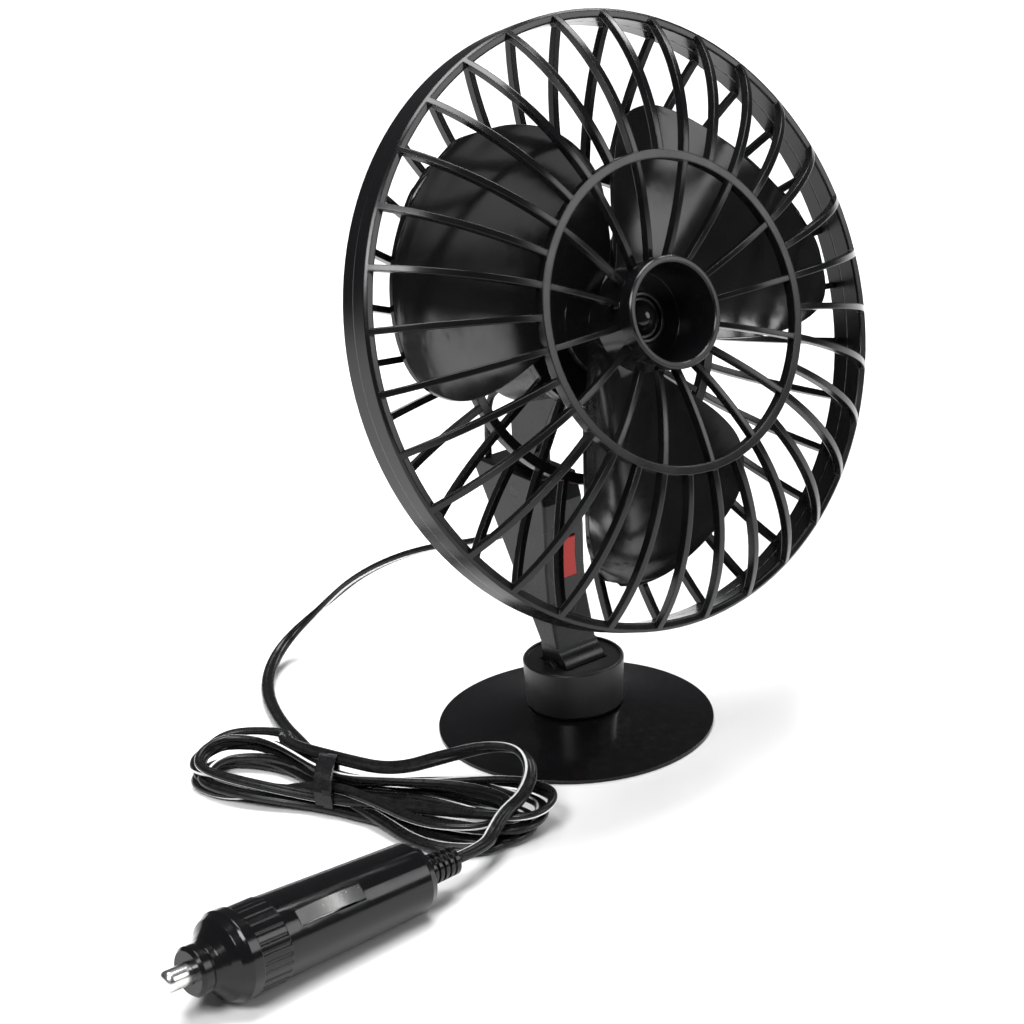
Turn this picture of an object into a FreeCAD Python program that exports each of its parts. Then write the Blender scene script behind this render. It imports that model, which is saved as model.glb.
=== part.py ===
import FreeCAD, Part
import math
import os

from FreeCAD import Placement, Rotation, Vector

# A 12 V car fan on a tilting stem with a suction cup. Millimetres, +Z up, the fan faces -Y.
# The model is designed round the axis of the suction cup and moved by BASE_Y when it is written,
# so that the middle of its footprint lies at the origin.
BASE_Y = 11.6

# Head: its own frame has +Z along the fan axis towards the front, zero at the front edge of the ring.
HEAD_POS = Vector(0, -28.0, 114.0)
HEAD_TILT = 19.0
RING_R = 73.1
RING_WALL = 2.3
RING_DEPTH = 10.2
RING_SPLIT = -5.1
RIB_COUNT = 32
SPOKE_COUNT = 16
RIB_WIDTH = 1.5
RIB_DEPTH = 2.4
FRONT_DOME = 17.1
INNER_RING_R = 37.4
INNER_RING_WALL = 2.0
HUB_RING_R = 13.2
HUB_RING_WALL = 1.7
HUB_CUP_BACK = 2.4
HUB_CUP_FLOOR = 3.8
BUTTON_R = 4.2
REAR_DOME = -19.0
REAR_RING_R = 37.6
PLATE_R = 19.0
PLATE_TOP = -17.0

# Impeller.
BLADE_COUNT = 3
BLADE_FIRST = 28.0
BLADE_THICK = 1.5
BLADE_ROOT_Z = -9.2
BLADE_LEAD_RISE = -11.0
BLADE_CURL = 12.4
BLADE_SECTIONS = [
    # radius, angle of the leading edge, angle of the trailing edge
    (5.2, -58, 38), (12, -58, 38), (18, -56.5, 38), (25, -52.5, 41), (33, -49.5, 43), (41, -45, 42.8),
    (47.5, -40.5, 40.5), (52, -36.8, 36.5), (55.5, -33, 31), (58, -29, 20), (60, -25.5, 7),
    (61.5, -21, -4), (62.2, -15.5, -10.5),
]
HUB_DISC_R = 13.0
BOSS_R = 6.2
BOSS_BACK = -13.5
BOSS_FRONT = 0.4
BOSS_RECESS = -2.0
CAP_R = 4.0

# Motor.
CAN_R = 12.7
CAN_WALL = 0.8
CAN_FRONT = -19.6
CAN_BACK = -43.0
HOUSING_R = 15.5
HOUSING_BACK = -47.2
SHAFT_R = 1.0
BEARING_R = 3.0
RUNNING_GAP = 0.05

# Hinges, in the design frame.
HEAD_HINGE = Vector(0, 13.0, 61.5)
HEAD_HINGE_R = 5.6
HEAD_PIN_R = 1.5
LUG_HALF = 2.5
LUG_SIDE = [(8.6, 61.5), (8.6, 71.5), (-1.0, 88.0), (11.0, 90.0), (17.4, 78.0), (17.4, 61.5)]
FOOT_HINGE = Vector(0, 0, 17.0)
FOOT_R = 5.0
FOOT_PIN_R = 1.0

# Stem: a hollow wedge, seen from the side.
STEM_HALF = 6.2
STEM_WALL = 1.5
STEM_FRONT = [(-1.9, 22.0), (-0.6, 28.0), (0.9, 34.0), (1.4, 42.0), (1.0, 52.0), (1.2, 60.0)]
STEM_TOP = [(3.2, 66.4), (26.6, 66.4)]
STEM_REAR = [(29.0, 63.6), (4.9, 22.0)]
FORK_FRONT = 5.6
FORK_REAR = 20.4
FORK_FLOOR = 55.4
PANEL_LOW = 28.0
PANEL_HIGH = 62.4
PANEL_HALF = 5.0
PANEL_BACK = 3.0
SWITCH_Z = 45.2
SWITCH_HALF_H = 5.2
SWITCH_HALF_W = 2.7
SWITCH_GAP = 0.35
ROCKER_AXLE_R = 0.6
CASE_FRONT = 4.2
CASE_BACK = 8.6
TERMINAL_LENGTH = 2.4

# Base.
COLLAR_TOP = 18.6
COLLAR_TOP_R = 12.8
COLLAR_LOW = 5.9
COLLAR_LOW_R = 12.2
CUP_R = 35.0
STUD_R = 3.2

# Cord: a flat twin flex, as wide as this.
CORD_D = 3.4
GLAND_TAIL = Vector(0, 24.4, 45.2)
LEAD_ROUTE = [
    GLAND_TAIL,
    Vector(0, 32.2, 40.68),
    Vector(-11.0, 47.0, 37.5),
    Vector(-18.5, 64.0, 28.0),
    Vector(-22.5, 79.0, 14.5),
    Vector(-34.0, 84.0, 4.6),
    Vector(-48.0, 71.0, 1.9),
    Vector(-57.0, 51.0, 1.9),
    Vector(-61.5, 32.0, 2.6),
    Vector(-66.5, 17.0, 4.6),
]

# Plug: its own frame has +Z along the plug from the tail of the strain relief to the tip.
PLUG_TAIL = Vector(-76.5, -49.4, 8.35)
PLUG_HEADING = 184.3
PLUG_RISE = 2.5
PLUG_ROLL = -42.0
RELIEF_END = 10.2
PLUG_BODY_END = 53.6
NOSE_END = 64.8
NOSE_R = 9.9
LAND_R = 10.4
LAND_LENGTH = 3.2
KNOB_START = 71.4
KNOB_END = 74.2
PIN_END = 80.8
PIN_R = 2.5
SPRING_BACK = 14.2
FUSE_R = 3.15
FUSE_BACK = 24.0
FUSE_FRONT = 54.0
PLUG_BORE_R = 6.9
LEAF_BACK = 31.5
LEAF_FRONT = 49.6
LEAF_HALF = 1.7

# Hank: the outline of the tied cord, as distances along and across its own axis.
HANK_START = Vector(-86.0, 34.0, 0)
HANK_END = Vector(-48.0, -40.0, 0)
HANK_OUTLINE = [
    (-5.0, -4.0), (2.0, -6.6), (20.0, -6.6), (38.0, -7.0), (58.0, -11.0), (76.0, -13.5),
    (84.0, -9.0), (88.0, -1.0), (86.0, 6.5), (76.0, 9.5), (58.0, 9.5), (38.0, 8.4),
    (20.0, 8.4), (4.0, 9.4), (-5.0, 6.0),
]
HANK_LOW = 0.2
HANK_HIGH = 9.6
PLUG_ROUTE = [PLUG_TAIL, Vector(-66.5, -48.6, 7.7), Vector(-58.6, -41.4, 6.2)]
MOTOR_LEAD_D = 1.8
SUPPLY_LEAD_D = 1.4

HEAD = Placement(HEAD_POS, Rotation(Vector(1, 0, 0), 90.0 - HEAD_TILT))


def disc(radius, low, high):
    """A cylinder on the Z axis between two heights."""
    return Part.makeCylinder(radius, high - low, Vector(0, 0, low))


def ring(outer, inner, low, high):
    """A flat ring on the Z axis."""
    return disc(outer, low, high).cut(disc(inner, low, high))


def revolved(points):
    """A solid turned about Z from (radius, height) corners."""
    corners = [Vector(r, 0, z) for r, z in points]
    face = Part.Face(Part.makePolygon(corners + corners[:1]))
    return face.revolve(Vector(0, 0, 0), Vector(0, 0, 1), 360)


def across_x(points, half_width):
    """A slab from (y, z) corners, as wide as twice half_width and centred on X."""
    corners = [Vector(-half_width, y, z) for y, z in points]
    face = Part.Face(Part.makePolygon(corners + corners[:1]))
    return face.extrude(Vector(2 * half_width, 0, 0))


def x_rod(radius, half_length, centre):
    """A cylinder along X."""
    return Part.makeCylinder(radius, 2 * half_length, centre - Vector(half_length, 0, 0), Vector(1, 0, 0))


def block(x_half, y0, y1, z0, z1):
    """A box centred on X."""
    return Part.makeBox(2 * x_half, y1 - y0, z1 - z0, Vector(-x_half, y0, z0))


def turned(shape, degrees):
    """A copy turned about Z."""
    copy = shape.copy()
    copy.rotate(Vector(0, 0, 0), Vector(0, 0, 1), degrees)
    return copy


def around(shape, count, first=0.0):
    """Copies spaced evenly about Z."""
    return [turned(shape, first + 360.0 * i / count) for i in range(count)]


def curved_rib(root, middle, end, depth, width):
    """A rib whose outer line is an arc in the XZ plane, with depth along Z."""
    outer = [Vector(r, -width / 2, z) for r, z in (root, middle, end)]
    inner = [p - Vector(0, 0, depth) for p in outer]
    edges = [
        Part.Arc(*outer).toShape(),
        Part.LineSegment(outer[2], inner[2]).toShape(),
        Part.Arc(inner[2], inner[1], inner[0]).toShape(),
        Part.LineSegment(inner[0], outer[0]).toShape(),
    ]
    return Part.Face(Part.Wire(edges)).extrude(Vector(0, width, 0))


def straight_rib(start, end, top, depth, width):
    """A flat spoke along X."""
    return Part.makeBox(end - start, width, depth, Vector(start, -width / 2, top - depth))


def front_grille():
    edge = 0.6
    wall = revolved([
        (RING_R - RING_WALL, RING_SPLIT), (RING_R, RING_SPLIT), (RING_R, -edge),
        (RING_R - edge, 0), (RING_R - RING_WALL + 0.3, 0), (RING_R - RING_WALL, -0.3),
    ])
    outer = curved_rib((RING_R - 0.5, -0.1), (58.0, 11.4), (INNER_RING_R - 0.8, FRONT_DOME - 0.1),
                       RIB_DEPTH, RIB_WIDTH)
    spoke = curved_rib((INNER_RING_R - 1.2, FRONT_DOME - 0.1), (23.0, FRONT_DOME - 1.6),
                       (HUB_RING_R - 0.8, FRONT_DOME - 4.6), 2.2, RIB_WIDTH - 0.2)
    inner = ring(INNER_RING_R, INNER_RING_R - INNER_RING_WALL, FRONT_DOME - 2.6, FRONT_DOME)
    ribs = around(outer, RIB_COUNT) + around(spoke, SPOKE_COUNT)
    return wall.fuse([inner, hub_cup()] + ribs)


def hub_cup():
    """The cup in the middle of the front grille, with a low ring on its floor round the button."""
    inside = HUB_RING_R - HUB_RING_WALL
    return revolved([
        (0, HUB_CUP_BACK), (HUB_RING_R - 1.2, HUB_CUP_BACK), (HUB_RING_R - 0.4, HUB_CUP_BACK + 0.8),
        (HUB_RING_R, FRONT_DOME - 0.4), (HUB_RING_R - 0.4, FRONT_DOME), (inside + 0.3, FRONT_DOME),
        (inside, FRONT_DOME - 0.3), (inside - 0.4, HUB_CUP_FLOOR), (BUTTON_R + 2.0, HUB_CUP_FLOOR),
        (BUTTON_R + 1.8, HUB_CUP_FLOOR + 1.2), (BUTTON_R + 1.0, HUB_CUP_FLOOR + 1.2),
        (BUTTON_R + 0.6, HUB_CUP_FLOOR), (0, HUB_CUP_FLOOR),
    ])


def hub_button():
    """A domed button stuck on the floor of the hub cup."""
    dome = Part.makeSphere(BUTTON_R + 0.4, Vector(0, 0, HUB_CUP_FLOOR - 1.8))
    return dome.common(disc(BUTTON_R, HUB_CUP_FLOOR, HUB_CUP_FLOOR + 5))


def rear_grille():
    edge = 0.6
    back = -RING_DEPTH
    wall = revolved([
        (RING_R - RING_WALL, back + 0.3), (RING_R - RING_WALL + 0.3, back), (RING_R - edge, back),
        (RING_R - 0.2, back + edge), (RING_R - 0.2, RING_SPLIT), (RING_R - RING_WALL, RING_SPLIT),
    ])
    outer = curved_rib((RING_R - 1.0, back + 2.4), (57.0, -13.8), (REAR_RING_R - 0.8, REAR_DOME + 2.3),
                       2.2, RIB_WIDTH)
    spoke = straight_rib(PLATE_R - 0.8, REAR_RING_R - 1.2, REAR_DOME + 2.0, 1.9, RIB_WIDTH)
    inner = ring(REAR_RING_R, REAR_RING_R - 2.4, REAR_DOME, REAR_DOME + 2.4)
    plate = ring(PLATE_R, 5.0, REAR_DOME, PLATE_TOP)
    half_step = 180.0 / RIB_COUNT
    ribs = around(outer, RIB_COUNT, half_step) + around(spoke, SPOKE_COUNT, half_step)
    whole = wall.fuse([inner, plate] + ribs)
    for x in (-17.2, 17.2):
        whole = whole.cut(Part.makeCylinder(0.9, 1.6, Vector(x, 0, REAR_DOME)))
    return whole


def blade_height(radius, degrees):
    """Flat at the root, and further out falling from a raised leading edge to a low trailing half."""
    share = max(0.0, 1 - 1.17 * (1 - min(radius, 50) / 50))
    turn = degrees / 45
    return BLADE_ROOT_Z + share * (BLADE_LEAD_RISE * turn + BLADE_CURL * turn * turn)


def blade():
    """One wide curled blade, through rows of points at growing radius."""
    steps = 8
    rows = []
    for radius, lead, trail in BLADE_SECTIONS:
        row = []
        for i in range(steps + 1):
            degrees = lead + (trail - lead) * i / steps
            angle = math.radians(degrees)
            z = blade_height(radius, degrees) + BLADE_THICK / 2
            row.append(Vector(radius * math.cos(angle), radius * math.sin(angle), z))
        rows.append(row)
    surface = Part.BSplineSurface()
    surface.interpolate(rows)
    return surface.toShape().extrude(Vector(0, 0, -BLADE_THICK))


def impeller():
    boss = disc(BOSS_R, BOSS_BACK, BOSS_FRONT).cut(disc(BOSS_R - 1.3, BOSS_RECESS, BOSS_FRONT))
    root = disc(HUB_DISC_R, BLADE_ROOT_Z - 0.8, BLADE_ROOT_Z + 0.8)
    whole = boss.fuse([root] + around(blade(), BLADE_COUNT, BLADE_FIRST))
    return whole.cut(disc(SHAFT_R, BOSS_BACK - 1, BOSS_RECESS + 1))


def impeller_cap():
    """A domed nut on the end of the shaft."""
    dome = Part.makeSphere(CAP_R, Vector(0, 0, BOSS_RECESS - 1.2))
    dome = dome.common(disc(CAP_R, BOSS_RECESS, BOSS_RECESS + 4))
    return dome.cut(disc(SHAFT_R, BOSS_RECESS - 1, BOSS_RECESS + 1.2))


def motor_shaft():
    return disc(SHAFT_R, CAN_BACK - 1.6, BOSS_RECESS + 1.2)


def motor_rotor():
    """A three-pole armature with its commutator, pressed on the shaft."""
    core = disc(4.0, -36.0, -26.0)
    pole = Part.makeBox(8.8, 3.4, 10.0, Vector(0, -1.7, -36.0))
    shoe = disc(8.9, -36.0, -26.0).cut(disc(7.3, -36.0, -26.0))
    window = Part.makeBox(10.0, 9.0, 10.0, Vector(0, -4.5, -36.0))
    shoe = shoe.common(window)
    poles = around(pole.fuse(shoe), 3)
    windings = ring(6.4, 2.0, -37.6, -36.0).fuse(ring(6.4, 2.0, -26.0, -24.4))
    commutator = disc(2.4, -41.4, -37.0)
    whole = core.fuse(poles + [windings, commutator])
    return whole.cut(disc(SHAFT_R, -42.0, -24.0))


def motor_magnets():
    return ring(CAN_R - CAN_WALL, 9.4, -38.5, -23.5)


def motor_can():
    can = disc(CAN_R, CAN_BACK, CAN_FRONT).cut(disc(CAN_R - CAN_WALL, CAN_BACK, CAN_FRONT - 1.0))
    nose = disc(4.4, CAN_FRONT, CAN_FRONT + 3.6)
    return can.fuse(nose).cut(disc(BEARING_R, CAN_FRONT - 2, CAN_FRONT + 4))


def bearing(low, high):
    return ring(BEARING_R, SHAFT_R + RUNNING_GAP, low, high)


def motor_end_cap():
    """The plastic end of the motor, with its two brush arms."""
    cap = disc(CAN_R, CAN_BACK - 2.0, CAN_BACK).cut(disc(BEARING_R, CAN_BACK - 1.5, CAN_BACK))
    cap = cap.cut(disc(SHAFT_R + 0.4, CAN_BACK - 2.0, CAN_BACK))
    arms = []
    for side in (-1, 1):
        arm = Part.makeBox(0.8, 2.6, 4.2, Vector(side * 3.4 - 0.4, -1.3, CAN_BACK))
        arms.append(arm)
    whole = cap.fuse(arms)
    for x in (-7.0, 7.0):
        whole = whole.cut(Part.makeBox(0.6, 2.0, 2.0, Vector(x - 0.3, -1.0, CAN_BACK - 2.0)))
    return whole


def motor_terminal(x):
    return Part.makeBox(0.6, 2.0, 1.9, Vector(x - 0.3, -1.0, CAN_BACK - 2.0))


def to_head(point):
    """A point of the design frame, in the head's own frame."""
    return HEAD.inverse().multVec(point)


def motor_housing():
    """The cup over the motor, its mounting flange and the lug that hangs in the stem's fork."""
    cup = disc(HOUSING_R, HOUSING_BACK, REAR_DOME)
    rim = [e for e in cup.Edges if abs(e.BoundBox.ZMin - HOUSING_BACK) < 1e-6 and e.BoundBox.ZLength < 1e-6]
    cup = cup.makeFillet(3.0, rim)
    flange = disc(PLATE_R, REAR_DOME - 1.8, REAR_DOME)
    pivot = to_head(HEAD_HINGE)
    corners = [to_head(Vector(-LUG_HALF, y, z)) for y, z in LUG_SIDE]
    lug = Part.Face(Part.makePolygon(corners + corners[:1])).extrude(Vector(2 * LUG_HALF, 0, 0))
    eye = x_rod(HEAD_HINGE_R, LUG_HALF, pivot)
    whole = cup.fuse([flange, lug, eye])
    whole = whole.cut(disc(CAN_R, CAN_BACK - 2.0, REAR_DOME + 1))
    whole = whole.cut(x_rod(HEAD_PIN_R + RUNNING_GAP, LUG_HALF + 1, pivot))
    for x in (-17.2, 17.2):
        whole = whole.cut(Part.makeCylinder(0.9, 3.0, Vector(x, 0, REAR_DOME - 2.4)))
    return whole


def motor_screw(x):
    """A screw through the housing's flange into the plate of the rear grille."""
    shank = Part.makeCylinder(0.9, 3.4, Vector(x, 0, REAR_DOME - 1.8))
    head = Part.makeCylinder(1.6, 1.0, Vector(x, 0, REAR_DOME - 2.8))
    slot = Part.makeBox(3.4, 0.4, 0.4, Vector(x - 1.7, -0.2, REAR_DOME - 2.8))
    return shank.fuse(head).cut(slot)


def stem_outline(inset=0.0):
    """Side view of the stem as (y, z) corners, shrunk by inset on every side but the foot's."""
    front = [(y + inset, z) for y, z in STEM_FRONT]
    top = [(STEM_TOP[0][0] + inset, STEM_TOP[0][1] - inset), (STEM_TOP[1][0] - inset, STEM_TOP[1][1] - inset)]
    rear = [(y - 1.15 * inset, z) for y, z in STEM_REAR]
    return front + top + rear


def stem_body():
    """A hollow wedge with a fork at its top and a round foot at its bottom."""
    wedge = across_x(stem_outline(), STEM_HALF)
    sides = [e for e in wedge.Edges if e.BoundBox.XLength < 1e-6]
    wedge = wedge.makeFillet(0.7, sides)
    neck = across_x([(-3.4, 17.0), (-1.9, 22.5), (4.9, 22.5), (4.2, 17.0)], STEM_HALF)
    foot = x_rod(FOOT_R, STEM_HALF, FOOT_HINGE)
    whole = wedge.fuse([neck, foot])
    hollow = across_x([(y, z) for y, z in stem_outline(STEM_WALL) if z > 27.0] + [(9.0, 32.0)],
                      STEM_HALF - STEM_WALL)
    hollow = hollow.cut(block(STEM_HALF, FORK_FRONT - 1.6, FORK_REAR + 1.6, FORK_FLOOR - 1.6, 70))
    whole = whole.cut(hollow)
    fork = block(LUG_HALF + 0.35, FORK_FRONT, FORK_REAR, FORK_FLOOR, 70)
    whole = whole.cut(fork)
    whole = whole.cut(x_rod(HEAD_PIN_R, STEM_HALF + 1, HEAD_HINGE))
    whole = whole.cut(x_rod(FOOT_PIN_R + RUNNING_GAP, STEM_HALF + 1, FOOT_HINGE))
    whole = whole.cut(panel_blank(0.0))
    return whole.cut(gland_bore())


def panel_blank(grow):
    """The leaf-shaped piece of the stem's front, before its window is cut."""
    middle = (PANEL_LOW + PANEL_HIGH) / 2
    half = PANEL_HALF + grow
    left = Part.Arc(Vector(0, -4, PANEL_LOW - grow), Vector(-half, -4, middle), Vector(0, -4, PANEL_HIGH + grow))
    right = Part.Arc(Vector(0, -4, PANEL_HIGH + grow), Vector(half, -4, middle), Vector(0, -4, PANEL_LOW - grow))
    leaf = Part.Face(Part.Wire([left.toShape(), right.toShape()])).extrude(Vector(0, 4 + PANEL_BACK, 0))
    return leaf.common(across_x(stem_outline(), STEM_HALF))


def stem_panel():
    window = block(SWITCH_HALF_W + SWITCH_GAP, -5, 10, SWITCH_Z - SWITCH_HALF_H - SWITCH_GAP,
                   SWITCH_Z + SWITCH_HALF_H + SWITCH_GAP)
    axle = x_rod(ROCKER_AXLE_R + RUNNING_GAP, SWITCH_HALF_W + 1.0, rocker_axis())
    return panel_blank(0.0).cut(window).cut(axle)


def rocker_axis():
    return Vector(0, 2.2, SWITCH_Z)


def switch_rocker():
    """A red rocker on two stub axles in the panel. Its lower half stands a little proud at rest."""
    low, high = SWITCH_Z - SWITCH_HALF_H, SWITCH_Z + SWITCH_HALF_H
    key = across_x([(0.5, low), (0.9, SWITCH_Z), (0.5, high), (2.9, high), (2.9, low)], SWITCH_HALF_W)
    axle = x_rod(ROCKER_AXLE_R, SWITCH_HALF_W + 0.8, rocker_axis())
    return key.fuse(axle)


def switch_case():
    """The switch case behind the rocker, held to the back of the panel by two cheeks."""
    half = SWITCH_HALF_W + SWITCH_GAP + 0.75
    low, high = SWITCH_Z - SWITCH_HALF_H - 0.6, SWITCH_Z + SWITCH_HALF_H + 0.6
    whole = block(half, CASE_FRONT, CASE_BACK, low, high)
    for left in (-half, half - 0.7):
        whole = whole.fuse(Part.makeBox(0.7, CASE_FRONT - PANEL_BACK + 0.5, high - low, Vector(left, PANEL_BACK, low)))
    return whole


def switch_terminal(z):
    return block(0.9, CASE_BACK, CASE_BACK + TERMINAL_LENGTH, z - 0.3, z + 0.3)


def gland_direction():
    """Square to the sloping rear of the stem."""
    (y1, z1), (y0, z0) = STEM_REAR
    slope = Vector(0, z1 - z0, -(y1 - y0))
    return slope.normalize()


def gland_bore():
    back = GLAND_TAIL - gland_direction() * 9.0
    return Part.makeCylinder(2.4, 8.0, back, gland_direction())


def cord_gland():
    """A ribbed sleeve that carries the cord out of the stem."""
    way = gland_direction()
    whole = Part.makeCylinder(2.4, 8.0, GLAND_TAIL - way * 8.0, way)
    grooves = []
    for back in (1.0, 2.2, 3.4):
        outer = Part.makeCylinder(3.2, 0.5, GLAND_TAIL - way * (back + 0.5), way)
        grooves.append(outer.cut(Part.makeCylinder(1.95, 0.5, GLAND_TAIL - way * (back + 0.5), way)))
    for groove in grooves:
        whole = whole.cut(groove)
    return whole


def head_pin():
    return x_rod(HEAD_PIN_R, STEM_HALF, HEAD_HINGE)


def foot_pin():
    return x_rod(FOOT_PIN_R, STEM_HALF + 1.5, FOOT_HINGE)


def collar():
    """A hollow cap that turns on the stud and holds the stem's foot between two ears."""
    rim, top = 1.0, COLLAR_TOP - 0.6
    shell = revolved([
        (COLLAR_LOW_R - 0.6, COLLAR_LOW), (COLLAR_LOW_R, COLLAR_LOW + 0.8), (COLLAR_TOP_R, COLLAR_TOP - 0.4),
        (COLLAR_TOP_R - 0.4, COLLAR_TOP), (COLLAR_TOP_R - rim, COLLAR_TOP), (COLLAR_TOP_R - rim, top),
        (0, top), (0, COLLAR_LOW),
    ])
    hollow = disc(10.4, COLLAR_LOW, 7.0).fuse(disc(10.4, 9.0, top - 2.6))
    ears = [x_rod(2.3, 0.75, Vector(side * (STEM_HALF + 1.05), 0, FOOT_HINGE.z)) for side in (-1, 1)]
    whole = shell.cut(hollow)
    whole = whole.cut(block(STEM_HALF + 0.3, -FOOT_R - 0.6, FOOT_R + 0.6, 11.4, 30))
    whole = whole.cut(disc(STUD_R + 0.08, 5, 10))
    whole = whole.fuse(ears)
    return whole.cut(foot_pin())


def cup_stud():
    """A spool: its foot is moulded into the cup and its head holds the collar."""
    return revolved([(0, 4.2), (6.0, 4.2), (6.0, 5.2), (STUD_R, 5.2), (STUD_R, 9.3), (5.0, 9.3),
                     (5.0, 10.4), (4.4, 11.0), (0, 11.0)])


def suction_cup():
    """A shallow flexible dish with a boss under the collar."""
    upper = [Vector(CUP_R, 0, 0.9), Vector(23.0, 0, 3.1), Vector(12.2, 0, 5.5)]
    under = [Vector(33.4, 0, 0), Vector(18.0, 0, 2.2), Vector(0, 0, 2.8)]
    edges = [
        Part.LineSegment(Vector(33.4, 0, 0), Vector(CUP_R, 0, 0)).toShape(),
        Part.LineSegment(Vector(CUP_R, 0, 0), upper[0]).toShape(),
        Part.Arc(*upper).toShape(),
        Part.LineSegment(upper[2], Vector(9.6, 0, 5.5)).toShape(),
        Part.LineSegment(Vector(9.6, 0, 5.5), Vector(9.6, 0, 6.6)).toShape(),
        Part.LineSegment(Vector(9.6, 0, 6.6), Vector(0, 0, 6.6)).toShape(),
        Part.LineSegment(Vector(0, 0, 6.6), under[2]).toShape(),
        Part.Arc(under[2], under[1], under[0]).toShape(),
    ]
    whole = Part.Face(Part.Wire(edges)).revolve(Vector(0, 0, 0), Vector(0, 0, 1), 360)
    return whole.cut(cup_stud())


def swept_tube(points, diameter):
    """A round tube along straight runs joined by tangent arcs. Returns it with its smallest bend radius."""
    edges, radii = [], []
    start = points[0]
    for before, corner, after in zip(points, points[1:], points[2:]):
        back, ahead = (before - corner), (after - corner)
        reach = 0.45 * min(back.Length, ahead.Length)
        half_turn = (math.pi - back.getAngle(ahead)) / 2
        radii.append(reach / math.tan(half_turn))
        back.normalize()
        ahead.normalize()
        enter, leave = corner + back * reach, corner + ahead * reach
        to_centre = (back + ahead).normalize()
        centre = corner + to_centre * math.hypot(radii[-1], reach)
        middle = centre - to_centre * radii[-1]
        edges.append(Part.LineSegment(start, enter).toShape())
        edges.append(Part.Arc(enter, middle, leave).toShape())
        start = leave
    edges.append(Part.LineSegment(start, points[-1]).toShape())
    spine = Part.Wire(edges)
    section = Part.Wire(Part.makeCircle(diameter / 2, points[0], points[1] - points[0]))
    return spine.makePipeShell([section], True, False), min(radii), spine.Length


def hank_point(along, across, height=0.0):
    axis = (HANK_END - HANK_START).normalize()
    side = Vector(-axis.y, axis.x, 0)
    return HANK_START + axis * along + side * across + Vector(0, 0, height)


def cord_hank():
    """The outer shape of the tied cord."""
    corners = [hank_point(s, n, HANK_LOW) for s, n in HANK_OUTLINE]
    slab = Part.Face(Part.makePolygon(corners + corners[:1])).extrude(Vector(0, 0, HANK_HIGH - HANK_LOW))
    rims = [e for e in slab.Edges if e.BoundBox.ZLength < 1e-6]
    return slab.makeChamfer(2.0, rims)


def cord_tie():
    """A flat band round the hank."""
    outer = [hank_point(s, n, 0.0) for s, n in ((28.0, -7.8), (32.5, -7.8), (32.5, 9.4), (28.0, 9.4))]
    band = Part.Face(Part.makePolygon(outer + outer[:1])).extrude(Vector(0, 0, HANK_HIGH + 0.8))
    return band.cut(cord_hank())


def plug_placement():
    heading = math.radians(PLUG_HEADING)
    rise = math.radians(PLUG_RISE)
    axis = Vector(math.cos(heading) * math.cos(rise), math.sin(heading) * math.cos(rise), math.sin(rise))
    roll = Placement(Vector(), Rotation(Vector(0, 0, 1), PLUG_ROLL))
    return Placement(PLUG_TAIL, Rotation(Vector(0, 0, 1), axis)).multiply(roll)


def plug_strain_relief():
    whole = revolved([(0, 0), (3.3, 0), (3.7, RELIEF_END), (5.4, RELIEF_END), (5.4, RELIEF_END + 1.6),
                      (0, RELIEF_END + 1.6)])
    for i in range(5):
        low = 1.2 + 1.7 * i
        whole = whole.cut(ring(4.2, 2.9, low, low + 0.7))
    return whole


def plug_body():
    outer = revolved([
        (0, RELIEF_END), (6.2, RELIEF_END), (7.6, RELIEF_END + 0.8), (8.4, RELIEF_END + 2.6),
        (9.7, PLUG_BODY_END), (0, PLUG_BODY_END),
    ])
    bore = disc(PLUG_BORE_R, SPRING_BACK, PLUG_BODY_END)
    seat = plug_strain_relief()
    whole = outer.cut(bore).cut(disc(5.4, RELIEF_END, RELIEF_END + 1.6)).cut(seat)
    slot = Part.makeBox(4.0, 2 * LEAF_HALF + 0.5, LEAF_FRONT - LEAF_BACK,
                        Vector(PLUG_BORE_R - 1.0, -LEAF_HALF - 0.25, LEAF_BACK))
    return whole.cut(slot).cut(turned(slot, 180))


def plug_nose_cap():
    """The fluted ring, the wider smooth land that fills the socket, and the bell and knob."""
    land = NOSE_END - LAND_LENGTH
    whole = revolved([
        (0, PLUG_BODY_END), (NOSE_R, PLUG_BODY_END), (NOSE_R, land), (LAND_R, land),
        (LAND_R, NOSE_END - 0.6), (LAND_R - 0.4, NOSE_END),
        (9.2, NOSE_END + 1.6), (7.4, NOSE_END + 3.0), (5.9, NOSE_END + 4.6), (5.3, KNOB_START - 0.8),
        (5.7, KNOB_START), (5.7, KNOB_END - 0.8), (5.0, KNOB_END), (0, KNOB_END),
    ])
    flute = Part.makeCylinder(0.5, land - PLUG_BODY_END, Vector(NOSE_R + 0.2, 0, PLUG_BODY_END))
    whole = whole.cut(around(flute, 28))
    whole = whole.cut(disc(6.4, PLUG_BODY_END, 60.4))
    return whole.cut(disc(PIN_R + RUNNING_GAP, 60.0, KNOB_END + 1))


def plug_tip_pin():
    shaft = disc(PIN_R, 60.0, PIN_END)
    tip = [e for e in shaft.Edges if e.BoundBox.ZMin > PIN_END - 1e-6]
    shaft = shaft.makeFillet(1.6, tip)
    head = disc(4.4, 57.4, 60.0)
    return shaft.fuse(head)


def plug_fuse():
    """A glass fuse with two end caps, as one piece."""
    caps = disc(FUSE_R, FUSE_BACK, FUSE_BACK + 5).fuse(disc(FUSE_R, FUSE_FRONT - 5, FUSE_FRONT))
    return caps.fuse([disc(FUSE_R - 0.3, FUSE_BACK, FUSE_FRONT), disc(2.0, FUSE_FRONT, 57.4)])


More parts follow.
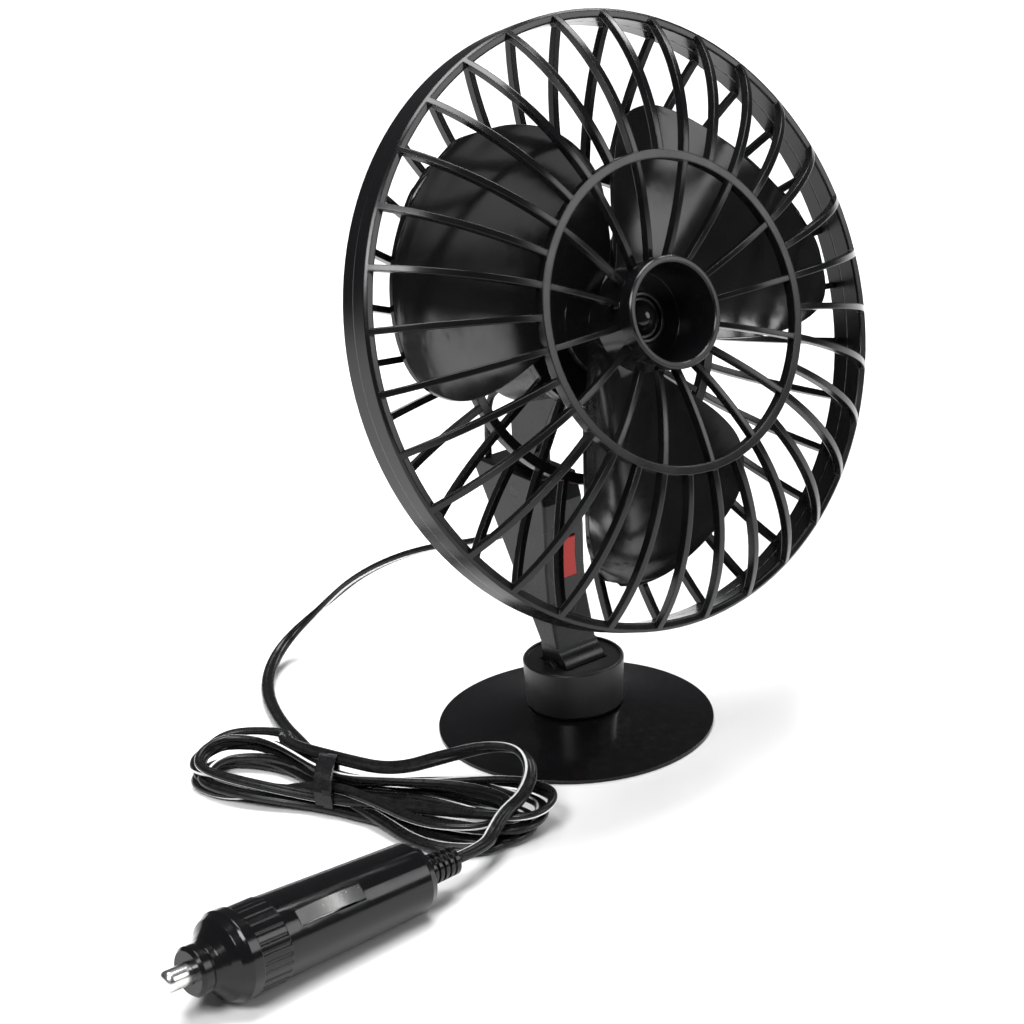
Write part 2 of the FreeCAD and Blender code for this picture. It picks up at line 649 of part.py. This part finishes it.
def plug_spring():
    """The spring that pushes the fuse and the pin forwards."""
    coil, wire, turns, steps = 2.6, 0.3, 5, 12
    low, high = SPRING_BACK + wire + 0.1, FUSE_BACK - wire - 0.1
    points = []
    for i in range(turns * steps + 1):
        angle = 2 * math.pi * i / steps
        height = low + (high - low) * i / (turns * steps)
        points.append(Vector(coil * math.cos(angle), coil * math.sin(angle), height))
    helix = Part.BSplineCurve()
    helix.interpolate(points)
    corners = [points[0] + Vector(x, 0, z) for x, z in ((wire, wire), (-wire, wire), (-wire, -wire), (wire, -wire))]
    section = Part.makePolygon(corners + corners[:1])
    return Part.Wire(helix.toShape()).makePipeShell([section], True, True)


def plug_contact():
    """A bowed leaf in the side of the plug, with a foot that holds it inside the bore."""
    middle = (LEAF_BACK + LEAF_FRONT) / 2
    low, high = LEAF_BACK, LEAF_FRONT
    inner_r = PLUG_BORE_R - 0.9
    edges = [
        Part.Arc(Vector(9.0, 0, low), Vector(10.5, 0, middle), Vector(9.0, 0, high)).toShape(),
        Part.LineSegment(Vector(9.0, 0, high), Vector(inner_r, 0, high)).toShape(),
        Part.LineSegment(Vector(inner_r, 0, high), Vector(inner_r, 0, high - 0.5)).toShape(),
        Part.LineSegment(Vector(inner_r, 0, high - 0.5), Vector(8.5, 0, high - 0.5)).toShape(),
        Part.Arc(Vector(8.5, 0, high - 0.5), Vector(10.0, 0, middle), Vector(8.5, 0, low + 0.5)).toShape(),
        Part.LineSegment(Vector(8.5, 0, low + 0.5), Vector(inner_r, 0, low + 0.5)).toShape(),
        Part.LineSegment(Vector(inner_r, 0, low + 0.5), Vector(inner_r, 0, low)).toShape(),
        Part.LineSegment(Vector(inner_r, 0, low), Vector(9.0, 0, low)).toShape(),
    ]
    leaf = Part.Face(Part.Wire(edges)).extrude(Vector(0, 2 * LEAF_HALF, 0))
    leaf.translate(Vector(0, -LEAF_HALF, 0))
    return leaf


def motor_lead():
    """The short loop of wire from the back of the motor housing into the top of the stem."""
    start = HEAD.multVec(Vector(-3.8, -10.0, HOUSING_BACK))
    out = HEAD.multVec(Vector(-3.8, -10.0, HOUSING_BACK - 6.0))
    stem_top = STEM_TOP[0][1]
    loop = [start, out, Vector(-3.8, 25.8, 81.0), Vector(-3.8, 25.8, stem_top)]
    return swept_tube(loop, MOTOR_LEAD_D)[0]


def supply_lead():
    """The wire inside the stem, from the gland to the switch."""
    inner = GLAND_TAIL - gland_direction() * 8.0
    bend = inner - gland_direction() * 3.0
    end = Vector(0, CASE_BACK + TERMINAL_LENGTH + 0.1, SWITCH_Z + 3.0)
    return swept_tube([inner, bend, end + Vector(0, 1.8, 0), end], SUPPLY_LEAD_D)[0]


def save(name, shape, placement=None):
    """Places a shape, moves it to the part's origin and writes it."""
    placed = shape.copy()
    if placement is not None:
        placed.Placement = placement.multiply(placed.Placement)
    placed.translate(Vector(0, BASE_Y, 0))
    placed.exportStep(os.path.join("parts", name + ".step"))
    box = placed.BoundBox
    print(f"{name:22s} solids {len(placed.Solids)} valid {placed.isValid()} volume {placed.Volume:9.1f}"
          f"  y {box.YMin:7.2f} {box.YMax:7.2f}  z {box.ZMin:6.2f} {box.ZMax:7.2f}")


def save_cords():
    """Writes the two free stretches of the cord, cut flush with the tied hank."""
    hank = cord_hank()
    for name, route in (("cord_lead", LEAD_ROUTE), ("cord_tail", PLUG_ROUTE)):
        tube, tightest, length = swept_tube(route, CORD_D)
        print(f"{name}: length {length:.1f}, tightest bend {tightest:.1f},"
              f" volume {tube.Volume:.0f} against {math.pi * CORD_D ** 2 / 4 * length:.0f}")
        save(name, tube.cut(hank))
    save("cord_hank", hank)
    save("cord_tie", cord_tie())


def main():
    os.makedirs("parts", exist_ok=True)
    head_parts = {
        "front_grille": front_grille(), "hub_button": hub_button(), "rear_grille": rear_grille(),
        "impeller": impeller(),
        "impeller_cap": impeller_cap(), "motor_shaft": motor_shaft(), "motor_rotor": motor_rotor(),
        "motor_magnets": motor_magnets(), "motor_can": motor_can(),
        "bearing_front": bearing(CAN_FRONT + 0.6, CAN_FRONT + 3.2),
        "bearing_rear": bearing(CAN_BACK - 1.5, CAN_BACK), "motor_end_cap": motor_end_cap(),
        "motor_terminal_left": motor_terminal(-7.0), "motor_terminal_right": motor_terminal(7.0),
        "motor_housing": motor_housing(), "motor_screw_left": motor_screw(-17.2),
        "motor_screw_right": motor_screw(17.2),
    }
    for name, shape in head_parts.items():
        save(name, shape, HEAD)
    stem_parts = {
        "motor_lead": motor_lead(), "stem_body": stem_body(), "stem_panel": stem_panel(),
        "switch_rocker": switch_rocker(), "switch_case": switch_case(),
        "switch_terminal_upper": switch_terminal(SWITCH_Z + 3.0),
        "switch_terminal_lower": switch_terminal(SWITCH_Z - 3.0), "supply_lead": supply_lead(),
        "head_pin": head_pin(), "cord_gland": cord_gland(), "foot_pin": foot_pin(), "collar": collar(),
        "cup_stud": cup_stud(), "suction_cup": suction_cup(),
    }
    for name, shape in stem_parts.items():
        save(name, shape)
    save_cords()
    plug_parts = {
        "plug_strain_relief": plug_strain_relief(), "plug_body": plug_body(),
        "plug_nose_cap": plug_nose_cap(), "plug_tip_pin": plug_tip_pin(), "plug_fuse": plug_fuse(),
        "plug_spring": plug_spring(), "plug_contact_left": plug_contact(),
        "plug_contact_right": turned(plug_contact(), 180),
    }
    for name, shape in plug_parts.items():
        save(name, shape, plug_placement())


main()
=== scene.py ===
"""The looks of a small 12 V car fan: materials, the twin cord with its tied hank, lights and camera."""

import math

import bpy
from mathutils import Matrix, Vector


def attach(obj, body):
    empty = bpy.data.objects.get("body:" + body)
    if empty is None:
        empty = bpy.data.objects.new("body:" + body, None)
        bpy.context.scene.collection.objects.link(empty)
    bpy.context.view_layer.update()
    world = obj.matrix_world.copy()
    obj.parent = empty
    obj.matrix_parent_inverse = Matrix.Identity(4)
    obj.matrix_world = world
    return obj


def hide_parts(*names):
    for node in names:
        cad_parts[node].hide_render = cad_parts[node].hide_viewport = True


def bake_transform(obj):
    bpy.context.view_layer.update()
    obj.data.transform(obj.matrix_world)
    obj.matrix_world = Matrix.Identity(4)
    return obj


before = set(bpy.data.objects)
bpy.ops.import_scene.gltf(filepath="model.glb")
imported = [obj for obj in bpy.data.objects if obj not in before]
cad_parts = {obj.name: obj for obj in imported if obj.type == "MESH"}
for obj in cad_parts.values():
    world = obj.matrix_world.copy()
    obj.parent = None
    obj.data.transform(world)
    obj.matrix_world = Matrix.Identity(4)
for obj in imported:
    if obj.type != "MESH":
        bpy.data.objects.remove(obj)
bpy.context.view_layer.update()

MM = 0.001
BASE_Y = 11.6 * MM          # the design frame's distance to the middle of the footprint

# Camera: where it stands, where it looks, and its lens.
CAMERA_PLACE = Vector((-0.4196, -0.5226, 0.3309))
CAMERA_AIM = Vector((-0.0216, -0.0109, 0.0669))
CAMERA_ROLL = -2.81
CAMERA_LENS = 103.95
CAMERA_SHIFT = (-0.0410, 0.0126)

# Softboxes: name, place, aim, the two sides and the power in watts.
LIGHTS = [
    ("key", (-0.9, -0.5, 1.1), (0, 0, 0.08), (0.5, 0.5), 15),
    ("rim", (1.05, 0.30, 1.15), (0, 0, 0.1), (0.4, 0.6), 9),
    ("top", (0.1, 0.1, 1.6), (0, 0, 0.1), (0.8, 0.8), 30),
    ("side", (0.62, -0.80, 0.52), (0, 0, 0.11), (0.45, 0.45), 3.2),
]

# Twin cord: two round cores side by side, one with a white tracer line.
CORE_R = 0.90 * MM
CORE_OFF = 0.84 * MM
TRACER_MIDDLE = 62.0
TRACER_HALF = 19.0

# Hank: it lies between these two points of the floor, and its tie is this far along it.
HANK_START = Vector((-86.0, 34.0, 0)) * MM
HANK_END = Vector((-48.0, -40.0, 0)) * MM
TIE_ALONG = 30.0
# Where each turn's outgoing and returning runs pass through the tie: across the hank and height.
TIE_OUT = [(7.0, 3.4), (6.4, 1.3), (2.9, 1.3), (3.2, 3.5), (3.4, 5.7)]
TIE_BACK = [(-0.6, 1.3), (-4.1, 1.3), (-0.3, 3.5), (-3.9, 3.5), (-0.1, 5.7)]
# The two folds of each turn: how far along it reaches, its two sides across, its height.
FAR_FOLDS = [
    (86.0, 12.5, -8.0, 4.5), (84.0, 10.0, -9.5, 2.0), (80.5, 6.0, -15.0, 1.8),
    (88.0, 13.5, -5.0, 7.0), (79.0, 8.0, -12.0, 6.0),
]
NEAR_FOLDS = [
    (-6.5, 12.0, -7.0, 1.3), (-4.0, 11.0, -8.0, 3.3), (-8.0, 14.0, -5.5, 3.6),
    (-6.0, 13.0, -6.0, 5.6), (-7.0, 15.5, -6.0, 1.6),
]
NEAR_RISES = [0.0, 0.0, 1.5, 1.5, 7.5]
# The last run, over the tie and up into the high loop, along, across and height.
LAST_RUN = [
    (12, 12.0, 8.0), (30, 7.6, 8.4), (45, 6.8, 8.0), (58, 10.5, 12.4), (68, 14.0, 15.0),
    (76, 14.5, 15.2), (81.5, 9.0, 13.2), (82.5, 1.0, 10.3), (80.5, -5.5, 9.0),
]
# The free stretches: from the gland to the hank, and from the hank to the plug.
LEAD_ROUTE = [
    (0, 24.4, 45.2), (0, 32.2, 40.68), (-11.0, 47.0, 37.5), (-18.5, 64.0, 28.0), (-22.5, 79.0, 14.5),
    (-34.0, 84.0, 4.6), (-48.0, 71.0, 1.9), (-57.0, 51.0, 1.9), (-61.5, 32.0, 2.6), (-66.5, 17.0, 4.6),
]
PLUG_ROUTE = [(-58.6, -41.4, 6.2), (-66.5, -48.6, 7.7), (-76.5, -49.4, 8.35)]
# How the flat cord is turned about itself: fraction of its length, degrees from lying flat.
TWIST = [
    (0.0, 160), (0.10, 180), (0.14, 200), (0.17, 15), (0.22, -10), (0.25, 170), (0.30, 190), (0.33, 10),
    (0.38, -12), (0.41, 12), (0.45, 165), (0.48, 20), (0.54, -8), (0.58, 185), (0.62, 15), (0.68, 200),
    (0.72, 170), (0.76, 10), (0.84, 175), (0.90, 200), (0.93, 150), (0.97, 20), (1.0, 0),
]

# The short loop of wire from the motor housing into the stem.
MOTOR_LEAD_R = 0.9 * MM
MOTOR_LEAD = [(-3.8, 13.37, 89.18), (-3.8, 19.05, 87.22), (-3.8, 25.8, 81.0), (-3.8, 25.8, 66.4)]

# Specular level of the plastics and vinyl, below the plain dielectric's 0.5 to keep the blacks deep.
DARK_SPECULAR = 0.30


def design(point):
    """A point of the design frame, in millimetres, as a place in the scene."""
    return Vector(point) * MM + Vector((0, BASE_Y, 0))


def on_hank(along, across, height):
    """A place in the hank's own axes, in millimetres."""
    way = (HANK_END - HANK_START).normalized()
    side = Vector((-way.y, way.x, 0))
    return HANK_START + way * along * MM + side * across * MM + Vector((0, BASE_Y, height * MM))


# Camera, floor and lights

def make_camera():
    data = bpy.data.cameras.new("camera")
    data.lens = CAMERA_LENS
    data.sensor_width = 36.0
    data.shift_x, data.shift_y = CAMERA_SHIFT
    camera = bpy.data.objects.new("camera", data)
    camera.location = CAMERA_PLACE
    turn = (CAMERA_AIM - CAMERA_PLACE).to_track_quat("-Z", "Y").to_matrix().to_4x4()
    roll = Matrix.Rotation(math.radians(CAMERA_ROLL), 4, "Z")
    camera.rotation_euler = (turn @ roll).to_euler()
    bpy.context.scene.collection.objects.link(camera)
    bpy.context.scene.camera = camera


def area_light(name, place, aim, size, power):
    data = bpy.data.lights.new(name, "AREA")
    data.shape = "RECTANGLE"
    data.size, data.size_y = size
    data.energy = power
    lamp = bpy.data.objects.new(name, data)
    lamp.location = place
    lamp.rotation_euler = (Vector(aim) - Vector(place)).to_track_quat("-Z", "Y").to_euler()
    bpy.context.scene.collection.objects.link(lamp)


def make_studio():
    floor = new_mesh("studio_floor", [(-4, -4, 0), (4, -4, 0), (4, 4, 0), (-4, 4, 0)], [(0, 1, 2, 3)])
    floor.location.z = -0.0001
    paint = bpy.data.materials.new("pale_floor")
    paint.use_nodes = True
    shader = paint.node_tree.nodes["Principled BSDF"]
    shader.inputs["Base Color"].default_value = (0.93, 0.93, 0.93, 1)
    shader.inputs["Roughness"].default_value = 0.9
    floor.data.materials.append(paint)
    world = bpy.data.worlds.new("studio")
    world.use_nodes = True
    world.node_tree.nodes["Background"].inputs["Color"].default_value = (0.95, 0.96, 1.0, 1)
    world.node_tree.nodes["Background"].inputs["Strength"].default_value = 0.09
    bpy.context.scene.world = world
    for light in LIGHTS:
        area_light(*light)


# Mesh helpers

def new_mesh(name, points, faces, smooth=True):
    mesh = bpy.data.meshes.new(name)
    mesh.from_pydata(points, [], faces)
    mesh.polygons.foreach_set("use_smooth", [smooth] * len(mesh.polygons))
    mesh.update()
    piece = bpy.data.objects.new(name, mesh)
    bpy.context.scene.collection.objects.link(piece)
    return piece


def spline_points(route, steps):
    """The line of a NURBS spline with these control points."""
    curve = bpy.data.curves.new("route", "CURVE")
    curve.dimensions = "3D"
    spline = curve.splines.new("NURBS")
    spline.points.add(len(route) - 1)
    for point, place in zip(spline.points, route):
        point.co = (*place, 1)
    spline.order_u = 3
    spline.use_endpoint_u = True
    spline.resolution_u = steps
    holder = bpy.data.objects.new("route", curve)
    mesh = bpy.data.meshes.new_from_object(holder)
    line = [v.co.copy() for v in mesh.vertices]
    bpy.data.meshes.remove(mesh)
    bpy.data.objects.remove(holder)
    bpy.data.curves.remove(curve)
    return line


def distances(line):
    """How far along the line each of its points is."""
    along = [0.0]
    for before, after in zip(line, line[1:]):
        along.append(along[-1] + (after - before).length)
    return along


def swept(name, line, profile, turns):
    """A closed solid with this profile at each point of the line, turned by so many degrees."""
    points, faces = [], []
    count = len(profile)
    for i, centre in enumerate(line):
        way = (line[min(i + 1, len(line) - 1)] - line[max(i - 1, 0)]).normalized()
        flat = way.cross(Vector((0, 0, 1))).normalized()
        rise = flat.cross(way)
        c, s = math.cos(math.radians(turns[i])), math.sin(math.radians(turns[i]))
        right, top = flat * c + rise * s, rise * c - flat * s
        points += [centre + right * x + top * y for x, y in profile]
    for i in range(len(line) - 1):
        for k in range(count):
            a, b = i * count + k, i * count + (k + 1) % count
            faces.append((a, b, b + count, a + count))
    faces.append(tuple(range(count))[::-1])
    faces.append(tuple(range(len(points) - count, len(points))))
    return new_mesh(name, points, faces)


# Cord

def fold(tip, out_side, back_side, rise, height, way):
    """Six points round one end of a turn, from its outgoing side to its returning side."""
    middle, half = (out_side + back_side) / 2, (out_side - back_side) / 2
    start = (tip - way * 1.7 * abs(half), out_side, height)
    bend = []
    for degrees in (54, 18, -18, -54):
        angle = math.radians(degrees)
        share = (1 - math.sin(angle)) / 2
        bend.append((tip - way * abs(half) * (1 - math.cos(angle)), middle + half * math.sin(angle),
                     height + rise * share))
    end = (tip - way * 1.7 * abs(half), back_side, height + rise)
    return [start, *bend, end]


def hank_route():
    """The turns of the hank, each out through the tie, round the far fold, back and round the near fold."""
    route = []
    for turn, (out, back) in enumerate(zip(TIE_OUT, TIE_BACK)):
        far_tip, far_out, far_back, far_high = FAR_FOLDS[turn]
        near_tip, near_back, near_out, near_high = NEAR_FOLDS[turn]
        route.append((TIE_ALONG, *out))
        route.append((44, out[0] * 0.6 + far_out * 0.4, out[1] * 0.7 + far_high * 0.3))
        route += fold(far_tip, far_out, far_back, 0.0, far_high, 1)
        route.append((46, back[0] * 0.6 + far_back * 0.4, back[1] * 0.6 + far_high * 0.4))
        route.append((TIE_ALONG, *back))
        route += fold(near_tip, near_out, near_back, NEAR_RISES[turn], near_high, -1)
    return [on_hank(*p) for p in route + LAST_RUN]


def cord_route():
    return [design(p) for p in LEAD_ROUTE] + hank_route() + [design(p) for p in PLUG_ROUTE]


def twin_profile():
    """The outline of two cores side by side, with the notch between them."""
    reach = 180 - math.degrees(math.acos(CORE_OFF / CORE_R))
    steps = 8
    lobe = [math.radians(-reach + 2 * reach * i / steps) for i in range(steps + 1)]
    right = [(CORE_OFF + CORE_R * math.cos(a), CORE_R * math.sin(a)) for a in lobe[:-1]]
    return right + [(-x, -y) for x, y in right]


def tracer_profile():
    """The thin white line along one core, a hair proud of it and closed underneath."""
    outer = [math.radians(TRACER_MIDDLE + TRACER_HALF * k) for k in (-1, -0.5, 0, 0.5, 1)]
    proud, sunk = CORE_R + 0.03 * MM, CORE_R - 0.15 * MM
    rim = [(CORE_OFF + proud * math.cos(a), proud * math.sin(a)) for a in outer]
    return rim + [(CORE_OFF + sunk * math.cos(a), sunk * math.sin(a)) for a in (outer[-1], outer[0])]


def twist_at(share):
    """Degrees of turn at this fraction of the cord's length, eased between the listed ones."""
    for (low, a), (high, b) in zip(TWIST, TWIST[1:]):
        if share <= high:
            t = (share - low) / (high - low)
            return a + (b - a) * t * t * (3 - 2 * t)
    return TWIST[-1][1]


def lift_off_floor(line, turns):
    """Raises the points where the turned cord would reach below the floor."""
    for point, turn in zip(line, turns):
        reach = CORE_R + CORE_OFF * abs(math.sin(math.radians(turn)))
        point.z = max(point.z, reach + 0.05 * MM)


def make_cord():
    route = cord_route()
    line = spline_points(route, 8)
    along = distances(line)
    turns = [twist_at(a / along[-1]) for a in along]
    lift_off_floor(line, turns)
    cord = swept("supply_cord", line, twin_profile(), turns)
    tracer = swept("supply_cord_tracer", line, tracer_profile(), turns)
    dress(cord, "cord_vinyl")
    dress(tracer, "cord_tracer")
    tie = make_tie()
    for piece in (cord, tracer, tie):
        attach(piece, "stem")
    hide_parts("cord_lead", "cord_hank", "cord_tail")
    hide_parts("cord_tie")


def make_tie():
    """A flat twist tie wound twice round the hank, its two ends lying against it."""
    half_wide, half_thick = 1.25 * MM, 0.35 * MM
    profile = [
        (-half_wide, -half_thick), (half_wide, -half_thick), (half_wide, half_thick),
        (-half_wide, half_thick),
    ]
    points, faces = [], []
    steps = 56
    for i in range(steps + 1):
        turn = 2 * math.pi * (-0.28 + 2.1 * i / steps)
        grow = 1 + 0.06 * i / steps
        across = 1.9 + 8.0 * grow * math.copysign(abs(math.cos(turn)) ** 0.75, math.cos(turn))
        high = 4.9 + 4.9 * grow * math.copysign(abs(math.sin(turn)) ** 0.75, math.sin(turn))
        along = TIE_ALONG - 2.2 + 4.6 * i / steps - 0.35 * across
        centre = on_hank(along, across, max(high, 0.5))
        out = (centre - on_hank(along, 1.9, 4.9)).normalized()
        way = (HANK_END - HANK_START).normalized()
        points += [centre + way * x + out * y for x, y in profile]
    for i in range(steps):
        for k in range(4):
            a, b = i * 4 + k, i * 4 + (k + 1) % 4
            faces.append((a, b, b + 4, a + 4))
    faces += [(3, 2, 1, 0), tuple(range(steps * 4, steps * 4 + 4))]
    tie = new_mesh("hank_tie", points, faces, smooth=False)
    dress(tie, "cord_vinyl")
    return tie


def make_motor_lead():
    route = [design(p) for p in MOTOR_LEAD]
    line = spline_points(route, 10)
    ring = [(MOTOR_LEAD_R * math.cos(a), MOTOR_LEAD_R * math.sin(a))
            for a in (math.radians(30 * k) for k in range(12))]
    points, faces = [], []
    for i, centre in enumerate(line):
        way = (line[min(i + 1, len(line) - 1)] - line[max(i - 1, 0)]).normalized()
        right = Vector((1, 0, 0))
        top = right.cross(way)
        points += [centre + right * x + top * y for x, y in ring]
    for i in range(len(line) - 1):
        for k in range(12):
            a, b = i * 12 + k, i * 12 + (k + 1) % 12
            faces.append((a, b, b + 12, a + 12))
    faces += [tuple(range(12))[::-1], tuple(range(len(points) - 12, len(points)))]
    wire = new_mesh("motor_wire", points, faces)
    dress(wire, "cord_vinyl")
    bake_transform(wire)
    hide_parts("motor_lead")


# Materials

class Nodes:
    """A material's node tree, with short calls for adding and joining nodes."""

    def __init__(self, name):
        self.material = bpy.data.materials.new(name)
        self.material.use_nodes = True
        self.tree = self.material.node_tree
        self.shader = self.tree.nodes["Principled BSDF"]
        self.place = self.add("ShaderNodeTexCoord").outputs["Object"]

    def add(self, kind, **settings):
        node = self.tree.nodes.new(kind)
        for key, value in settings.items():
            setattr(node, key, value)
        return node

    def join(self, out, into):
        self.tree.links.new(out, into)

    def noise(self, scale, detail=3.0, rough=0.5):
        node = self.add("ShaderNodeTexNoise")
        self.join(self.place, node.inputs["Vector"])
        node.inputs["Scale"].default_value = scale
        node.inputs["Detail"].default_value = detail
        node.inputs["Roughness"].default_value = rough
        return node.outputs["Fac"]

    def remap(self, value, low, high, to_low, to_high):
        node = self.add("ShaderNodeMapRange")
        self.join(value, node.inputs["Value"])
        for key, number in (("From Min", low), ("From Max", high), ("To Min", to_low), ("To Max", to_high)):
            node.inputs[key].default_value = number
        return node.outputs["Result"]

    def blend(self, share, first, second):
        """One colour turning into another as the share goes from 0 to 1."""
        node = self.add("ShaderNodeMix", data_type="RGBA")
        self.join(share, node.inputs[0])
        for socket, colour in ((node.inputs[6], first), (node.inputs[7], second)):
            socket.default_value = (*colour, 1)
        return node.outputs[2]

    def finish(self, colour, rough, heights, rounded=0.0):
        """Joins the colour, the roughness and the bump layers, over edges rounded by that radius."""
        self.join(colour, self.shader.inputs["Base Color"])
        self.join(rough, self.shader.inputs["Roughness"])
        normal = None
        if rounded:
            bevel = self.add("ShaderNodeBevel", samples=6)
            bevel.inputs["Radius"].default_value = rounded
            normal = bevel.outputs["Normal"]
        for height, depth in heights:
            bump = self.add("ShaderNodeBump")
            bump.inputs["Distance"].default_value = depth
            self.join(height, bump.inputs["Height"])
            if normal:
                self.join(normal, bump.inputs["Normal"])
            normal = bump.outputs["Normal"]
        if normal:
            self.join(normal, self.shader.inputs["Normal"])
        return self.material


def moulded(name, colour, rough, grain=0.0, rounded=0.3, flow_depth=0.014, wear=0.12):
    """Moulded plastic: faint flow marks, duller patches from handling and, if asked for, fine grain."""
    n = Nodes(name)
    flow = n.noise(38.0, 4.0)
    smudge = n.noise(95.0, 5.0, 0.6)
    lighter = tuple(c * 1.4 + 0.002 for c in colour)
    tint = n.blend(n.remap(smudge, 0.42, 0.75, 0.0, wear), colour, lighter)
    roughness = n.remap(smudge, 0.35, 0.75, rough * 0.82, rough * 1.3 + 0.02)
    n.shader.inputs["Specular IOR Level"].default_value = DARK_SPECULAR
    reliefs = [(flow, flow_depth * MM)]
    if grain:
        reliefs.append((n.noise(2600.0, 2.0), grain * MM))
    return n.finish(tint, roughness, reliefs, rounded * MM)


def sparked(name, colour, rough):
    """Plastic from a mould with a fine spark-eroded grain."""
    n = Nodes(name)
    grain = n.noise(1500.0, 3.0, 0.65)
    patch = n.noise(60.0, 4.0)
    tint = n.blend(n.remap(grain, 0.35, 0.7, 0.0, 1.0), colour, tuple(c * 1.6 for c in colour))
    roughness = n.remap(patch, 0.3, 0.7, rough - 0.06, rough + 0.08)
    return n.finish(tint, roughness, [(grain, 0.02 * MM)], 0.3 * MM)


def vinyl(name, colour, rough):
    """Soft glossy vinyl with faint ripples from the mould and a few duller, lighter marks."""
    n = Nodes(name)
    ripple = n.noise(55.0, 2.0)
    marks = n.noise(420.0, 6.0, 0.7)
    tint = n.blend(n.remap(marks, 0.5, 0.8, 0.0, 0.6), colour, tuple(c * 1.5 + 0.002 for c in colour))
    roughness = n.remap(marks, 0.35, 0.75, rough * 0.8, rough * 1.5)
    n.shader.inputs["Specular IOR Level"].default_value = DARK_SPECULAR
    return n.finish(tint, roughness, [(ripple, 0.01 * MM)], 0.2 * MM)


def metal(name, colour, rough, rounded=0.15, brushed=False):
    """Plated or drawn metal with a slightly uneven shine, and fine scratches if it is brushed."""
    n = Nodes(name)
    scratch = n.noise(1800.0 if brushed else 900.0, 4.0, 0.7)
    patch = n.noise(160.0, 3.0)
    tint = n.blend(n.remap(patch, 0.35, 0.7, 0.0, 1.0), colour, tuple(c * 0.95 for c in colour))
    roughness = n.remap(scratch, 0.3, 0.7, rough * 0.96, rough * 1.06)
    n.shader.inputs["Metallic"].default_value = 1.0
    reliefs = [(scratch, 0.0002 * MM)] if brushed else []
    return n.finish(tint, roughness, reliefs, rounded * MM)


def make_materials():
    return {
        "grille_plastic": moulded("gloss_grille", (0.0035, 0.0035, 0.004), 0.20, rounded=0.45),
        "blade_plastic": moulded("gloss_blade", (0.006, 0.006, 0.0065), 0.13, rounded=0.3, flow_depth=0.006),
        "dome_plastic": moulded("polished_dome", (0.010, 0.010, 0.011), 0.06, flow_depth=0.004),
        "body_plastic": moulded("satin_body", (0.007, 0.007, 0.0075), 0.26, grain=0.003),
        "panel_plastic": moulded("satin_panel", (0.005, 0.005, 0.0055), 0.22, grain=0.003),
        "collar_plastic": sparked("sparked_collar", (0.006, 0.006, 0.0065), 0.34),
        "cup_vinyl": vinyl("cup_vinyl", (0.004, 0.004, 0.0045), 0.14),
        "switch_red": moulded("switch_red", (0.46, 0.016, 0.012), 0.33, rounded=0.35, wear=0.1),
        "hidden_plastic": sparked("inner_plastic", (0.05, 0.05, 0.05), 0.5),
        "pin_plastic": moulded("pin_plastic", (0.016, 0.016, 0.016), 0.25),
        "cord_vinyl": vinyl("cord_vinyl", (0.006, 0.006, 0.0065), 0.28),
        "cord_tracer": vinyl("cord_tracer", (0.78, 0.78, 0.77), 0.45),
        "plug_plastic": moulded("gloss_plug", (0.0045, 0.0045, 0.005), 0.15, rounded=0.35),
        "contact_metal": metal("nickel_contact", (0.70, 0.70, 0.69), 0.26, rounded=0.0),
        "steel": metal("drawn_steel", (0.55, 0.55, 0.56), 0.32, brushed=True),
        "ferrite": sparked("ferrite", (0.06, 0.06, 0.065), 0.6),
        "bronze": metal("bronze", (0.70, 0.48, 0.24), 0.30),
    }


def dress(piece, slot):
    """Gives a new piece the material of this slot."""
    piece.data.materials.append(MATERIALS[slot])


NODES_OF = {
    "grille_plastic": ["front_grille", "rear_grille"],
    "blade_plastic": ["impeller"],
    "dome_plastic": ["hub_button", "impeller_cap"],
    "body_plastic": ["motor_housing", "stem_body"],
    "panel_plastic": ["stem_panel"],
    "collar_plastic": ["collar"],
    "cup_vinyl": ["suction_cup"],
    "switch_red": ["switch_rocker"],
    "hidden_plastic": ["switch_case", "motor_end_cap", "cup_stud"],
    "pin_plastic": ["head_pin", "foot_pin"],
    "cord_vinyl": ["cord_gland", "supply_lead"],
    "plug_plastic": ["plug_strain_relief", "plug_body", "plug_nose_cap"],
    "contact_metal": ["plug_tip_pin", "plug_fuse", "plug_contact_left", "plug_contact_right"],
    "steel": ["motor_can", "motor_shaft", "motor_rotor", "motor_screw_left", "motor_screw_right",
              "plug_spring"],
    "ferrite": ["motor_magnets"],
    "bronze": ["bearing_front", "bearing_rear", "motor_terminal_left", "motor_terminal_right",
               "switch_terminal_upper", "switch_terminal_lower"],
}


def dress_nodes():
    for slot, names in NODES_OF.items():
        for name in names:
            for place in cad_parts[name].material_slots:
                place.material = MATERIALS[slot]


bpy.context.scene.view_settings.view_transform = "Standard"
make_camera()
MATERIALS = make_materials()
make_cord()
make_motor_lead()
dress_nodes()
make_studio()
